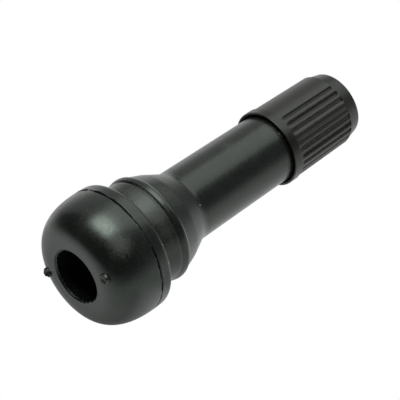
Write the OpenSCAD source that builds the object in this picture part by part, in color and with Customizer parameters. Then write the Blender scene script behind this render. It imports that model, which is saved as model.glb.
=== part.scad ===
// Snap-in valve for a tubeless car tyre, with its screw cap on.
// Z runs along the valve from the flat end face of the base, at z = 0, up to the cap.
// X runs through the two nibs on the end face.

/* [Rubber body] */
// Air bore in the base
bore_d = 7.3; // [6.4:0.1:8]
// Flat end face round the air bore
end_face_d = 8.8; // [8.4:0.1:10.6]
// Widest diameter of the base
base_d = 16.9; // [15.6:0.1:18.4]
// Height of the widest line above the end face
base_h = 6.55; // [5:0.05:7.4]
// Fullness of the dome, 2 is an ellipse and more is squarer
dome_fullness = 2.55; // [2.4:0.05:3.6]
// Height of the band above the widest line
band_h = 1.2; // [0.9:0.1:1.8]
// How much narrower the band is at its top
band_taper = 0.1; // [0:0.02:0.3]
// Height of the slope from the band down to the rim seat
shoulder_h = 0.8; // [0.6:0.1:1.4]
// Floor of the groove that grips the rim, where it is narrowest
seat_d = 13.2; // [12.4:0.1:13.6]
// Height of that floor, which widens up to the lip
seat_h = 2.75; // [2:0.05:3.4]
// Lip that holds the valve in the rim hole
lip_d = 14.1; // [13.9:0.1:15.4]
// Height of the lip
lip_h = 1.05; // [0.8:0.05:1.6]
// Depth of the fine groove under the lip
lip_groove = 0.15; // [0.1:0.05:0.2]
// Wide end of the cone above the lip
cone_d = 13.8; // [13:0.1:13.8]
// Height of the cone
cone_h = 5.1; // [4:0.1:6.4]
// Sleeve where it leaves the cone
sleeve_d = 9.55; // [9.3:0.05:10.4]
// Sleeve at its upper end
sleeve_tip_d = 9.15; // [8.9:0.05:9.3]
// Length of the sleeve
sleeve_h = 16.5; // [14:0.1:20]
// Diameter of the nibs on the end face
nib_d = 1.1; // [0.6:0.1:1.2]
// Circle that the nibs lie on
nib_circle_d = 11.5; // [10.8:0.1:12]

/* [Brass stem] */
// Outer thread for the cap, over its crests
thread_d = 7.7; // [7.3:0.1:7.9]
// Bare stem above the sleeve
proud_h = 8.8; // [7.5:0.1:10]
// Depth that the stem is sunk into the rubber
sunk_h = 20.3; // [18.3:0.1:21]
// Shank in the rubber, between its ridges
shank_d = 6.9; // [6.5:0.1:7.1]
// Ridges that key the shank into the rubber
ridge_d = 7.6; // [7.3:0.1:7.9]
// Number of ridges
ridge_count = 4; // [2:1:5]
// Foot at the lower end of the stem
foot_d = 9; // [8.4:0.1:9.4]
// Height of the foot
foot_h = 1.4; // [1:0.1:2]
// Air way through the stem, below the core
airway_d = 3.9; // [3.8:0.05:4.1]
// Inner thread for the core, over its roots
core_thread_d = 5.3; // [5.2:0.05:5.5]
// Bevel at the mouth of the stem, outside and inside
mouth_bevel = 0.4; // [0.2:0.05:0.5]

/* [Valve core] */
// Depth of the pin's top below the mouth
pin_depth = 0.3; // [0.2:0.05:0.6]
// Travel of the pin
press_travel = 1.2; // [0.8:0.1:1.4]
// Shaft of the pin
pin_d = 1; // [0.9:0.05:1.1]
// Head of the pin
pin_head_d = 1.9; // [1.6:0.1:2.2]
// Height of that head
pin_head_h = 0.7; // [0.5:0.05:0.9]
// Collar on the pin that the spring pushes
collar_d = 2.1; // [1.9:0.05:2.15]
// Height of the collar
collar_h = 0.5; // [0.4:0.05:0.7]
// Threaded part of the plug
plug_h = 2.6; // [2.4:0.1:3]
// Bridge across the top of the plug, its height
bridge_h = 1.6; // [1.2:0.1:1.8]
// Length of the bridge
bridge_d = 4; // [3.6:0.1:4.6]
// Width of the bridge
bridge_w = 1.6; // [1.5:0.1:1.9]
// Way for air through the plug
plug_bore_d = 3; // [2.7:0.1:3.2]
// Barrel above its packing
barrel_d = 3.7; // [3.6:0.05:3.75]
// Barrel below its packing
barrel_tip_d = 3.4; // [3.3:0.05:3.5]
// Flange of the barrel, held in the plug
flange_d = 4.2; // [4.1:0.05:4.3]
// Height of that flange
flange_h = 0.5; // [0.4:0.05:0.7]
// Length of the barrel
barrel_h = 7; // [6.6:0.1:8]
// Bore of the barrel, round the spring
barrel_bore_d = 2.3; // [2.3:0.05:2.4]
// Thickness of the barrel's floor
barrel_floor = 1.3; // [1:0.1:1.6]
// Hole in the barrel's floor
barrel_port_d = 1.6; // [1.4:0.05:1.7]
// Groove for the packing
packing_d = 3; // [2.9:0.05:3.1]
// Packing at its wide end
packing_top_d = 4.7; // [4.5:0.05:4.8]
// Height of the packing
packing_h = 1.6; // [1.2:0.1:1.8]
// Wire of the spring
wire_d = 0.28; // [0.24:0.01:0.32]
// Spring, over its wire
spring_d = 2; // [1.9:0.02:2.06]
// Turns of the spring
spring_turns = 9; // [7:1:10]
// Cup on the pin's lower end
cup_d = 3.3; // [3.1:0.05:3.4]
// Wall of the cup
cup_wall = 0.2; // [0.15:0.05:0.3]
// Floor of the cup
cup_floor = 0.3; // [0.2:0.05:0.4]
// Thickness of the gasket in the cup
gasket_h = 0.7; // [0.5:0.05:0.9]
// How far the gasket stands out of the cup
gasket_proud = 0.3; // [0.2:0.05:0.4]
// Rivet head below the cup
rivet_d = 1.6; // [1.4:0.1:2]
// Height of that rivet head
rivet_h = 0.3; // [0.2:0.05:0.5]

/* [Cap] */
// Length of the cap
cap_h = 12.75; // [12:0.05:13.6]
// Flange at the rim of the cap
cap_flange_d = 10.35; // [10.25:0.05:11.4]
// Height of that flange
cap_flange_h = 1.2; // [0.8:0.05:1.4]
// Fluted grip at the flange
grip_d = 10.1; // [9.9:0.05:10.2]
// Fluted grip at the crown
grip_top_d = 9.75; // [9.65:0.05:9.9]
// Height of the crown above the grip
crown_h = 2.05; // [1.6:0.05:2.4]
// Crown where it leaves the grip
crown_d = 9.5; // [9.3:0.05:9.6]
// Crown just under its edge
crown_top_d = 8.6; // [8.2:0.1:9]
// Round edge of the crown
crown_edge = 0.35; // [0.2:0.05:0.5]
// Thickness of the rubber seal in the cap
seal_h = 1.25; // [1:0.05:1.4]
// Thickness of the cap's roof
roof_h = 1.75; // [1.4:0.05:2]
// Places for flutes round the grip
flute_places = 28; // [24:2:32]
// Flutes on each of the two fluted sides
flute_count = 10; // [6:1:11]
// Round cutter that makes a flute
flute_d = 0.6; // [0.5:0.05:0.7]
// Depth of a flute
flute_depth = 0.25; // [0.15:0.05:0.3]
// Direction of the first flute
flute_turn = -48; // [-180:1:180]

/* [Fits] */
// Radial clearance of the cap on its thread
cap_gap = 0.1; // [0.05:0.05:0.15]
// Radial clearance of the cap's skirt round the sleeve
skirt_gap = 0.15; // [0.1:0.05:0.2]
// Clearance of the core in the stem
core_gap = 0.05; // [0.03:0.01:0.1]
// Running clearance inside the core
run_gap = 0.08; // [0.06:0.01:0.1]
// Gap between faces that stay clear of each other
face_gap = 0.05; // [0.03:0.01:0.08]

/* [Hidden] */
$fn = 64;

// Segments of a rounded corner, of the dome and of one turn of the spring
corner_steps = 6;
dome_steps = 14;
turn_steps = 16;
wire_sides = 8;
// Overlap that lets a cut pass a face
pass = 0.1;

// Heights of the rubber body
band_z = base_h + band_h;
seat_z = band_z + shoulder_h;
lip_z = seat_z + seat_h;
cone_z = lip_z + lip_h;
sleeve_z = cone_z + cone_h;
sleeve_top_z = sleeve_z + sleeve_h;

// Radii of its rounded corners, where the lip's are limited by its steps
band_round = 0.35;
seat_round = 0.5;
lip_round = min(0.15, lip_h / 6);
lip_top_round = min(0.1, (lip_d - cone_d) / 3);
cone_round = 4;
sleeve_round = 0.35;

// Heights of the stem
mouth_z = sleeve_top_z + proud_h;
foot_z = sleeve_top_z - sunk_h;
thread_root_h = 1;
thread_z = sleeve_top_z - thread_root_h;
ridge_h = 1.2;
ridge_flat = 0.4;
ridge_zone_z = foot_z + foot_h + ridge_h;
ridge_pitch = (thread_z - ridge_zone_z) / ridge_count;

// Heights of the core, from the pin's head down
pin_top_z = mouth_z - pin_depth;
head_z = pin_top_z - pin_head_h;
bridge_top_z = head_z - press_travel - 3 * face_gap;
bridge_z = bridge_top_z - bridge_h;
plug_z = bridge_z - plug_h;
lip_of_plug_h = 0.4;
barrel_top_z = plug_z + lip_of_plug_h + face_gap + flange_h;
barrel_z = barrel_top_z - barrel_h;
swivel_top_z = barrel_top_z + 6 * face_gap;
packing_drop = 0.75;
packing_top_z = plug_z - packing_drop;
packing_z = packing_top_z - packing_h;
spring_floor_z = barrel_z + barrel_floor;
collar_top_z = bridge_z - 4 * face_gap;
collar_z = collar_top_z - collar_h;
cup_inner_z = barrel_z - gasket_h;
cup_z = cup_inner_z - cup_floor;
rivet_z = cup_z - rivet_h;

// Heights of the cap
seal_z = mouth_z + face_gap;
seal_top_z = seal_z + seal_h;
cap_top_z = seal_top_z + roof_h;
cap_z = cap_top_z - cap_h;
grip_z = cap_z + cap_flange_h;
crown_z = cap_top_z - crown_h;
cap_bore_d = thread_d + 2 * cap_gap;
skirt_d = sleeve_tip_d + 2 * skirt_gap;
skirt_top_z = max(sleeve_top_z, cap_z) + 2 * skirt_gap;
flute_z = max(grip_z, skirt_top_z + flute_depth);
flange_round = min(0.15, (cap_flange_d - grip_d) / 3);
rim_bevel = min(0.25, (cap_flange_d - skirt_d) / 3);

// A corner [r, z, radius] of an outline between its neighbours, as the points of a round
function unit(v) = v / norm(v);
function corner(p, a, b) =
    let (
        at = [p[0], p[1]],
        to_a = unit([a[0], a[1]] - at),
        to_b = unit([b[0], b[1]] - at),
        half = acos(to_a * to_b) / 2,
        leg = p[2] / tan(half),
        centre = at + unit(to_a + to_b) * p[2] / sin(half),
        from = at + to_a * leg - centre,
        till = at + to_b * leg - centre,
        swing = acos(unit(from) * unit(till)),
        side = sign(from[0] * till[1] - from[1] * till[0])
    )
    [for (i = [0:corner_steps])
        let (t = side * swing * i / corner_steps)
        centre + [from[0] * cos(t) - from[1] * sin(t), from[0] * sin(t) + from[1] * cos(t)]];

// An outline of corners, where a point with no radius stays sharp
function rounded(points) =
    [for (i = [0:len(points) - 1])
        let (
            p = points[i],
            a = points[(i + len(points) - 1) % len(points)],
            b = points[(i + 1) % len(points)]
        )
        each (len(p) == 3 ? corner(p, a, b) : [p])];

// The dome, from the end face out to the widest line
dome = [for (i = [0:dome_steps])
    let (t = 90 * i / dome_steps, e = 2 / dome_fullness)
    [(end_face_d + (base_d - end_face_d) * pow(sin(t), e)) / 2, base_h * (1 - pow(cos(t), e))]];

// Outside of the rubber, with the middle still solid
rubber_outline = rounded(concat(
    [[0, 0]],
    dome,
    [
        [base_d / 2 - band_taper, band_z, band_round],
        [seat_d / 2, seat_z, seat_round],
        [lip_d / 2, lip_z],
        [lip_d / 2 - lip_groove, lip_z + lip_groove],
        [lip_d / 2, lip_z + 2 * lip_groove, lip_round],
        [lip_d / 2, cone_z, lip_top_round],
        [cone_d / 2, cone_z],
        [sleeve_d / 2, sleeve_z, cone_round],
        [sleeve_tip_d / 2, sleeve_top_z, sleeve_round],
        [0, sleeve_top_z]
    ]));

// Outside of the stem, which is also its bed in the rubber
stem_outline = concat(
    [
        [0, foot_z],
        [foot_d / 2, foot_z],
        [foot_d / 2, foot_z + foot_h],
        [shank_d / 2, foot_z + foot_h]
    ],
    [for (i = [0:ridge_count - 1])
        let (z = ridge_zone_z + i * ridge_pitch)
        each [
            [shank_d / 2, z],
            [ridge_d / 2, z + ridge_flat],
            [ridge_d / 2, z + ridge_h - ridge_flat],
            [shank_d / 2, z + ridge_h]
        ]],
    [
        [shank_d / 2, thread_z],
        [thread_d / 2, thread_z],
        [thread_d / 2, mouth_z - mouth_bevel],
        [thread_d / 2 - mouth_bevel, mouth_z],
        [0, mouth_z]
    ]);

// Inside of the stem: air way, taper seat of the packing and core chamber
stem_bore = [
    [0, foot_z - pass],
    [airway_d / 2, foot_z - pass],
    [airway_d / 2, packing_z],
    [packing_top_d / 2, packing_top_z],
    [core_thread_d / 2, packing_top_z],
    [core_thread_d / 2, mouth_z - mouth_bevel],
    [core_thread_d / 2 + mouth_bevel, mouth_z],
    [core_thread_d / 2 + mouth_bevel, mouth_z + pass],
    [0, mouth_z + pass]
];

module tube(outer_d, inner_d, z, h) {
    translate([0, 0, z])
        difference() {
            cylinder(d = outer_d, h = h);
            translate([0, 0, -pass])
                cylinder(d = inner_d, h = h + 2 * pass);
        }
}

// One moulding: domed base with its air bore, rim seat, lip, cone and sleeve
module rubber_body() {
    color([0.13, 0.14, 0.14]) {
        rotate_extrude()
            difference() {
                polygon(rubber_outline);
                polygon(stem_outline);
                translate([0, -pass])
                    square([bore_d / 2, foot_z + 2 * pass]);
            }
        for (side = [-1, 1])
            nib(side);
    }
}

// A nib ends in the plane of the end face
module nib(side) {
    nib_root = base_h / 4;
    translate([side * nib_circle_d / 2, 0, 0])
        cylinder(d = nib_d, h = nib_root);
}

// Turned tube with its foot, keying ridges, thread land and core chamber
module brass_stem() {
    color([0.78, 0.62, 0.32])
        rotate_extrude()
            difference() {
                polygon(stem_outline);
                polygon(stem_bore);
            }
}

// Threaded head of the core, closed over the barrel's flange, with a bridge that guides the pin
module core_plug() {
    plug_d = core_thread_d - 2 * core_gap;
    color([0.8, 0.65, 0.36])
        difference() {
            union() {
                translate([0, 0, plug_z])
                    cylinder(d = plug_d, h = plug_h);
                intersection() {
                    translate([0, 0, bridge_z - pass])
                        cylinder(d = bridge_d, h = bridge_h + pass);
                    translate([-bridge_d / 2, -bridge_w / 2, bridge_z - pass])
                        cube([bridge_d, bridge_w, bridge_h + pass]);
                }
            }
            translate([0, 0, plug_z - pass])
                cylinder(d = barrel_d + 2 * run_gap, h = lip_of_plug_h + 2 * pass);
            translate([0, 0, plug_z + lip_of_plug_h])
                cylinder(d = flange_d + 2 * run_gap, h = swivel_top_z - plug_z - lip_of_plug_h);
            translate([0, 0, swivel_top_z - pass])
                cylinder(d = plug_bore_d, h = bridge_z - swivel_top_z + pass);
            cylinder(d = pin_d + 2 * run_gap, h = mouth_z);
        }
}

// Barrel with its flange, the packing's groove, the spring's chamber and a port for air
module core_barrel() {
    color([0.8, 0.65, 0.36])
        rotate_extrude()
            polygon([
                [barrel_port_d / 2, barrel_z],
                [barrel_tip_d / 2, barrel_z],
                [barrel_tip_d / 2, packing_z],
                [packing_d / 2, packing_z],
                [packing_d / 2, packing_top_z],
                [barrel_d / 2, packing_top_z],
                [barrel_d / 2, barrel_top_z - flange_h],
                [flange_d / 2, barrel_top_z - flange_h],
                [flange_d / 2, barrel_top_z],
                [barrel_bore_d / 2, barrel_top_z],
                [barrel_bore_d / 2, spring_floor_z],
                [barrel_port_d / 2, spring_floor_z]
            ]);
}

// Conical ring between the barrel's groove and the taper seat in the stem
module barrel_packing() {
    color([0.62, 0.12, 0.1])
        rotate_extrude()
            polygon([
                [packing_d / 2, packing_z],
                [airway_d / 2, packing_z],
                [packing_top_d / 2, packing_top_z],
                [packing_d / 2, packing_top_z]
            ]);
}

// Pin with its head, the collar for the spring and the rivet that holds the cup
module core_pin() {
    head_edge = pin_head_h / 3;
    color([0.82, 0.68, 0.4])
        rotate_extrude()
            polygon([
                [0, rivet_z],
                [rivet_d / 2, rivet_z],
                [rivet_d / 2, cup_z],
                [pin_d / 2, cup_z],
                [pin_d / 2, collar_z],
                [collar_d / 2, collar_z],
                [collar_d / 2, collar_top_z],
                [pin_d / 2, collar_top_z],
                [pin_d / 2, head_z],
                [pin_head_d / 2, head_z],
                [pin_head_d / 2, pin_top_z - head_edge],
                [pin_head_d / 2 - head_edge, pin_top_z],
                [0, pin_top_z]
            ]);
}

// Coil of round wire from the barrel's floor up to the collar on the pin
module core_spring() {
    coil_r = (spring_d - wire_d) / 2;
    low = spring_floor_z + wire_d / 2 + face_gap / 2;
    rise = collar_z - face_gap / 2 - wire_d / 2 - low;
    rings = turn_steps * spring_turns;
    points = [for (i = [0:rings], k = [0:wire_sides - 1])
        let (turn = 360 * i / turn_steps, a = 360 * k / wire_sides, r = coil_r + wire_d / 2 * cos(a))
        [r * cos(turn), r * sin(turn), low + rise * i / rings + wire_d / 2 * sin(a)]];
    skin = [for (i = [0:rings - 1], k = [0:wire_sides - 1])
        let (n = (k + 1) % wire_sides, a = i * wire_sides, b = a + wire_sides)
        each [[a + k, b + k, b + n], [a + k, b + n, a + n]]];
    start = [for (k = [0:wire_sides - 1]) k];
    end = [for (k = [wire_sides - 1:-1:0]) rings * wire_sides + k];
    color([0.72, 0.73, 0.75])
        polyhedron(points, concat([start], skin, [end]));
}

// Cup that carries the gasket on the pin
module gasket_cup() {
    color([0.8, 0.65, 0.36])
        difference() {
            translate([0, 0, cup_z])
                cylinder(d = cup_d, h = cup_floor + gasket_h - gasket_proud);
            translate([0, 0, cup_inner_z])
                cylinder(d = cup_d - 2 * cup_wall, h = gasket_h);
            translate([0, 0, cup_z - pass])
                cylinder(d = pin_d, h = cup_floor + 2 * pass);
        }
}

// Washer that closes on the barrel's lower end
module cup_gasket() {
    color([0.12, 0.12, 0.12])
        tube(cup_d - 2 * cup_wall, pin_d, cup_inner_z, gasket_h);
}

// Plastic cap: plain flange, fluted grip and tapered crown
module cap_shell() {
    outline = rounded([
        [0, cap_z],
        [cap_flange_d / 2, cap_z, flange_round],
        [cap_flange_d / 2, grip_z, flange_round],
        [grip_d / 2, grip_z],
        [grip_top_d / 2, crown_z],
        [crown_d / 2, crown_z],
        [crown_top_d / 2, cap_top_z, crown_edge],
        [0, cap_top_z]
    ]);
    // Room for the sleeve's end, bevelled at the rim
    skirt = [
        [0, cap_z - pass],
        [skirt_d / 2 + rim_bevel, cap_z - pass],
        [skirt_d / 2 + rim_bevel, cap_z],
        [skirt_d / 2, cap_z + rim_bevel],
        [skirt_d / 2, skirt_top_z],
        [0, skirt_top_z]
    ];
    color([0.25, 0.25, 0.24])
        difference() {
            rotate_extrude()
                difference() {
                    polygon(outline);
                    polygon(skirt);
                    translate([0, cap_z])
                        square([cap_bore_d / 2, seal_top_z - cap_z]);
                }
            for (side = [0, 1], i = [0:flute_count - 1])
                rotate(flute_turn + side * 180 + i * 360 / flute_places)
                    flute();
        }
}

// Cutter of one flute, which follows the grip's taper
module flute() {
    lean = atan((grip_d - grip_top_d) / 2 / (crown_z - grip_z));
    foot_r = grip_d / 2 - (flute_z - grip_z) * tan(lean);
    translate([foot_r - flute_depth + flute_d / 2, 0, flute_z])
        rotate([0, -lean, 0])
            cylinder(d = flute_d, h = crown_z - flute_z);
}

// Rubber disc under the cap's roof that closes on the stem's mouth
module cap_seal() {
    color([0.12, 0.12, 0.12])
        translate([0, 0, seal_z])
            cylinder(d = cap_bore_d - 2 * cap_gap, h = seal_h);
}

rubber_body();
brass_stem();
core_plug();
core_barrel();
barrel_packing();
core_pin();
core_spring();
gasket_cup();
cup_gasket();
cap_shell();
cap_seal();
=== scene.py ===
import math

import bpy
import numpy as np
from mathutils import Matrix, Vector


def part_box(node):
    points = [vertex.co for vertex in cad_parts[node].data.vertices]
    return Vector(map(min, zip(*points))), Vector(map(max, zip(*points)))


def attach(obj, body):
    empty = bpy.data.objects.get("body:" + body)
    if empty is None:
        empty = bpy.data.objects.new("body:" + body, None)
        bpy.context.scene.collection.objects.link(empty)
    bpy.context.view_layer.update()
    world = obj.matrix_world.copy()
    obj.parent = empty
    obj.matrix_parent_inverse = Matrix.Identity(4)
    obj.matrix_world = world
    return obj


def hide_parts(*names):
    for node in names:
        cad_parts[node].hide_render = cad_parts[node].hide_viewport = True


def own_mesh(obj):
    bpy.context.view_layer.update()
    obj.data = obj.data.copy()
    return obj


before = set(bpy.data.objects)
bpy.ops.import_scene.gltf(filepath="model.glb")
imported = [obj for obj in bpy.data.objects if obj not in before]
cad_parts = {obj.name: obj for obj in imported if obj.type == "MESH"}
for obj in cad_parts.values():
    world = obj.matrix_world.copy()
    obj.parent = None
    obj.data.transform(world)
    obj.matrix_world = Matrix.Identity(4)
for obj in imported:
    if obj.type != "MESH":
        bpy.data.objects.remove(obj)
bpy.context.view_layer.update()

# Brass stem: one tube turned from bar, with a foot and four ridges that the rubber grips.
# Its upper end carries the rolled outer thread for the cap, and the mouth has the core's
# finer thread inside. It is bonded into the rubber when that is moulded round it.
MM = 0.001
STEM_FOOT_H, STEM_FOOT_R, STEM_BEVEL, STEM_LAND_H = 1.4, 4.5, 0.4, 9.8
STEM_SHANK_R, STEM_RIDGE_R, STEM_AIRWAY_R, STEM_OUTSIDE_R = 3.45, 3.8, 1.95, 3.2
STEM_RIDGES, STEM_RIDGE_H, STEM_RIDGE_EDGE = 4, 1.2, 0.08
STEM_STEP, STEM_THREAD_STEP, STEM_COLUMNS, STEM_SEAM = 1.5, 0.065, 120, 0.4
CAP_THREAD_R, CAP_THREAD_DEPTH, CAP_THREAD_PITCH = 3.85, 0.43, 0.79375
CAP_THREAD_FROM, CAP_THREAD_START, CAP_THREAD_END, CAP_THREAD_FADE = 0.5, 1.2, 0.2, 0.4
CORE_THREAD_R, CORE_THREAD_DEPTH, CORE_THREAD_PITCH, CORE_THREAD_H = 2.65, 0.2, 0.7056, 3.35
CORE_THREAD_END, CORE_THREAD_FADE = 0.05, 0.3
GROOVE_CREST, TAPPED_ROOT, THREAD_FLANK, ON_WALL = 0.88, 0.2, 0.66, 0.01
PACKING_SEAT_R = 2.35
EDGE_CRISP, EDGE_BEVEL, EDGE_SMALL, EDGE_SOFT = 0.02, 0.04, 0.05, 0.1
ARC_POINTS, LEAST_RUN, RUN_DIGITS = 8, 0.004, 5
NOISE_DETAIL, NOISE_FINER, RELIEF_STRENGTH = 4, 4, 0.5
COLOUR_SPAN, GLOSS_SPAN = (0.32, 0.7), (0.3, 0.7)
BRASS_DARK, BRASS_LIGHT = (0.36, 0.22, 0.075), (0.62, 0.43, 0.17)


def reach(node_name):
    """Lowest and highest z of a CAD node, in mm."""
    low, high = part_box(node_name)
    return low[2] / MM, high[2] / MM


def rounded_profile(corners, step):
    """Open outline through corners of (radius, height, rounding) in mm: each corner between its
    ends becomes an arc tangent to both its sides, and no straight run is longer than step."""
    corner = np.array(corners, float)
    at, rounding = corner[:, :2], corner[:, 2:]
    before, after = np.roll(at, 1, 0) - at, np.roll(at, -1, 0) - at
    before /= np.linalg.norm(before, axis=1, keepdims=True)
    after /= np.linalg.norm(after, axis=1, keepdims=True)
    half = np.arccos(np.clip((before * after).sum(1, keepdims=True), -1, 1)) / 2
    half[[0, -1]] = math.pi / 4
    rounding[[0, -1]] = 0
    leg = rounding / np.tan(half)
    share = np.linspace(0, 1, ARC_POINTS)[:, None, None]
    # a quadratic blend of the two tangent points and the corner is close to the arc
    arc = (1 - share) ** 2 * (at + before * leg) + share**2 * (at + after * leg)
    arc = arc + 2 * share * (1 - share) * at
    line = arc.transpose(1, 0, 2).reshape(-1, 2)
    run = np.r_[0, np.cumsum(np.hypot(*np.diff(line, axis=0).T))]
    stops = np.union1d(np.round(run, RUN_DIGITS), np.arange(0, run[-1], step))
    stops = stops[np.r_[True, np.diff(stops) > LEAST_RUN]]
    return np.interp(stops, run, line[:, 0]), np.interp(stops, run, line[:, 1])


def joined(*outlines):
    """Radii and heights of outlines that follow each other, each as one column."""
    radius, height = (np.concatenate(values)[:, None] for values in zip(*outlines))
    return radius, height


def full_turn(columns, start=0.0):
    """Angles that share one whole turn evenly, as one row."""
    return np.linspace(start, start + 2 * math.pi, columns, endpoint=False)[None, :]


def round_axis(radius, height, angle):
    """Points of a turned surface: x and y are radius times the cosine and sine of the angle,
    z is the height. Rows follow the profile and columns go round."""
    radius, height, angle = np.broadcast_arrays(radius, height, angle)
    return np.stack([radius * np.cos(angle), radius * np.sin(angle), height], -1)


def skin(grid, poles=None):
    """Closed skin over a grid of points, as points, face corners and face sizes: columns
    meet each other, and rows meet too or end in the two poles."""
    rows, cols = grid.shape[:2]
    index = np.arange(rows * cols).reshape(rows, cols)
    beside = np.roll(index, -1, 1)
    above, across = np.roll(index, -1, 0), np.roll(beside, -1, 0)
    quads = np.stack([index, beside, across, above], -1)
    points = grid.reshape(-1, 3)
    if poles is None:
        return points, quads.ravel(), np.full(rows * cols, 4)
    first, last = np.full(cols, rows * cols), np.full(cols, rows * cols + 1)
    fans = np.concatenate([np.stack([first, beside[0], index[0]], -1),
                           np.stack([last, index[-1], beside[-1]], -1)])
    quads = quads[:-1].reshape(-1, 4)
    sizes = np.r_[np.full(len(quads), 4), np.full(len(fans), 3)]
    return np.vstack([points, poles]), np.r_[quads.ravel(), fans.ravel()], sizes


def solid(name, skins, material, body, node):
    """One smooth mesh object of one or more closed skins in mm, which stands for a CAD node."""
    points, corners, sizes = zip(*skins)
    firsts = np.cumsum([0] + [len(part) for part in points])
    corners = np.concatenate([part + first for part, first in zip(corners, firsts)]).astype(np.int32)
    points, sizes = np.concatenate(points) * MM, np.concatenate(sizes)
    mesh = bpy.data.meshes.new(name)
    mesh.vertices.add(len(points))
    mesh.vertices.foreach_set("co", points.astype(np.float32).ravel())
    mesh.loops.add(len(corners))
    mesh.loops.foreach_set("vertex_index", corners)
    mesh.polygons.add(len(sizes))
    mesh.polygons.foreach_set("loop_start", np.r_[0, np.cumsum(sizes)[:-1]].astype(np.int32))
    mesh.polygons.foreach_set("use_smooth", np.ones(len(sizes), bool))
    mesh.update(calc_edges=True)
    mesh.validate()
    mesh.materials.append(material)
    piece = bpy.data.objects.new(name, mesh)
    bpy.context.scene.collection.objects.link(piece)
    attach(piece, body)
    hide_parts(node)
    return piece


def thread_wave(height, angle, pitch):
    """1 on the crest of a right-handed thread and 0 in the middle of its groove: the height
    less the pitch times the share of a turn, folded into a triangle wave."""
    turn = height / pitch - angle / (2 * math.pi)
    return np.abs(2 * (turn - np.floor(turn)) - 1)


def between(value, low, high, fade):
    """1 between two limits and 0 outside them, with a straight fade inside each end."""
    return np.clip(np.minimum(value - low, high - value) / fade, 0, 1)


def graded(tree, value, low, high, at_low, at_high, kind="SMOOTHSTEP"):
    """Socket that goes from one number to another as a value goes from low to high."""
    step = tree.nodes.new("ShaderNodeMapRange")
    step.interpolation_type = kind
    for socket, number in zip(step.inputs[1:5], (low, high, at_low, at_high)):
        socket.default_value = number
    tree.links.new(value, step.inputs[0])
    return step.outputs[0]


def tone(tree, value, stops):
    """Colour ramp through stops of (place from 0 to 1, colour)."""
    step = tree.nodes.new("ShaderNodeValToRGB")
    while len(step.color_ramp.elements) < len(stops):
        step.color_ramp.elements.new(0.5)
    for stop, (place, colour) in zip(step.color_ramp.elements, stops):
        stop.position = place
        stop.color = (*colour, 1)
    tree.links.new(value, step.inputs[0])
    return step.outputs["Color"]


def speckled_finish(name, dark, light, grain, rough, relief, stretch=(1, 1, 1), **fixed):
    """Material whose colour and roughness wander between two values with a noise of the given
    grain in mm, and whose relief in mm is a noise four times finer. It reads Object coordinates."""
    material = bpy.data.materials.new(name)
    material.use_nodes = True
    tree = material.node_tree
    shader = tree.nodes["Principled BSDF"]
    place, turn = tree.nodes.new("ShaderNodeTexCoord"), tree.nodes.new("ShaderNodeMapping")
    turn.inputs["Scale"].default_value = stretch
    tree.links.new(place.outputs["Object"], turn.inputs["Vector"])
    coarse, fine = tree.nodes.new("ShaderNodeTexNoise"), tree.nodes.new("ShaderNodeTexNoise")
    for noise, size in ((coarse, grain), (fine, grain / NOISE_FINER)):
        noise.inputs["Scale"].default_value = 1 / (size * MM)
        noise.inputs["Detail"].default_value = NOISE_DETAIL
        tree.links.new(turn.outputs["Vector"], noise.inputs["Vector"])
    colour = tone(tree, coarse.outputs["Fac"], tuple(zip(COLOUR_SPAN, (dark, light))))
    tree.links.new(colour, shader.inputs["Base Color"])
    gloss = graded(tree, fine.outputs["Fac"], *GLOSS_SPAN, *rough, kind="LINEAR")
    tree.links.new(gloss, shader.inputs["Roughness"])
    bump = tree.nodes.new("ShaderNodeBump")
    bump.inputs["Distance"].default_value = relief * MM
    bump.inputs["Strength"].default_value = RELIEF_STRENGTH
    tree.links.new(fine.outputs["Fac"], bump.inputs["Height"])
    tree.links.new(bump.outputs["Normal"], shader.inputs["Normal"])
    for socket, value in fixed.items():
        shader.inputs[socket.replace("_", " ")].default_value = value
    return material


brass = speckled_finish("turned_brass", BRASS_DARK, BRASS_LIGHT, grain=1.6, rough=(0.24, 0.4),
                        relief=0.01, stretch=(0.25, 0.25, 4), Metallic=1.0)
stem_foot_z, stem_mouth_z = reach("brass_stem")
packing_seat_z, packing_top_z = reach("barrel_packing")
stem_land_z = stem_mouth_z - STEM_LAND_H
stem_shank_z = stem_foot_z + STEM_FOOT_H
stem_outside = [(STEM_FOOT_R, stem_foot_z, EDGE_SOFT), (STEM_FOOT_R, stem_shank_z, EDGE_SOFT),
                (STEM_SHANK_R, stem_shank_z, EDGE_SOFT)]
for ridge_z in np.linspace(stem_shank_z + STEM_RIDGE_H, stem_land_z, STEM_RIDGES, endpoint=False):
    stem_outside += [(STEM_SHANK_R, ridge_z, EDGE_SMALL),
                     (STEM_RIDGE_R, ridge_z + STEM_RIDGE_H / 3, STEM_RIDGE_EDGE),
                     (STEM_RIDGE_R, ridge_z + STEM_RIDGE_H * 2 / 3, STEM_RIDGE_EDGE),
                     (STEM_SHANK_R, ridge_z + STEM_RIDGE_H, EDGE_SMALL)]
stem_outside += [(STEM_SHANK_R, stem_land_z, EDGE_CRISP), (CAP_THREAD_R, stem_land_z, EDGE_CRISP)]
stem_mouth = [(CAP_THREAD_R, stem_land_z + CAP_THREAD_FROM, 0),
              (CAP_THREAD_R, stem_mouth_z - STEM_BEVEL, EDGE_BEVEL),
              (CAP_THREAD_R - STEM_BEVEL, stem_mouth_z, EDGE_SMALL),
              (CORE_THREAD_R + STEM_BEVEL, stem_mouth_z, EDGE_SMALL),
              (CORE_THREAD_R, stem_mouth_z - STEM_BEVEL, EDGE_BEVEL),
              (CORE_THREAD_R, packing_top_z, EDGE_CRISP)]
stem_airway = [(PACKING_SEAT_R, packing_top_z, EDGE_CRISP), (STEM_AIRWAY_R, packing_seat_z, EDGE_CRISP),
               (STEM_AIRWAY_R, stem_foot_z, EDGE_SOFT), (STEM_FOOT_R - STEM_SEAM, stem_foot_z, 0)]
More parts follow.
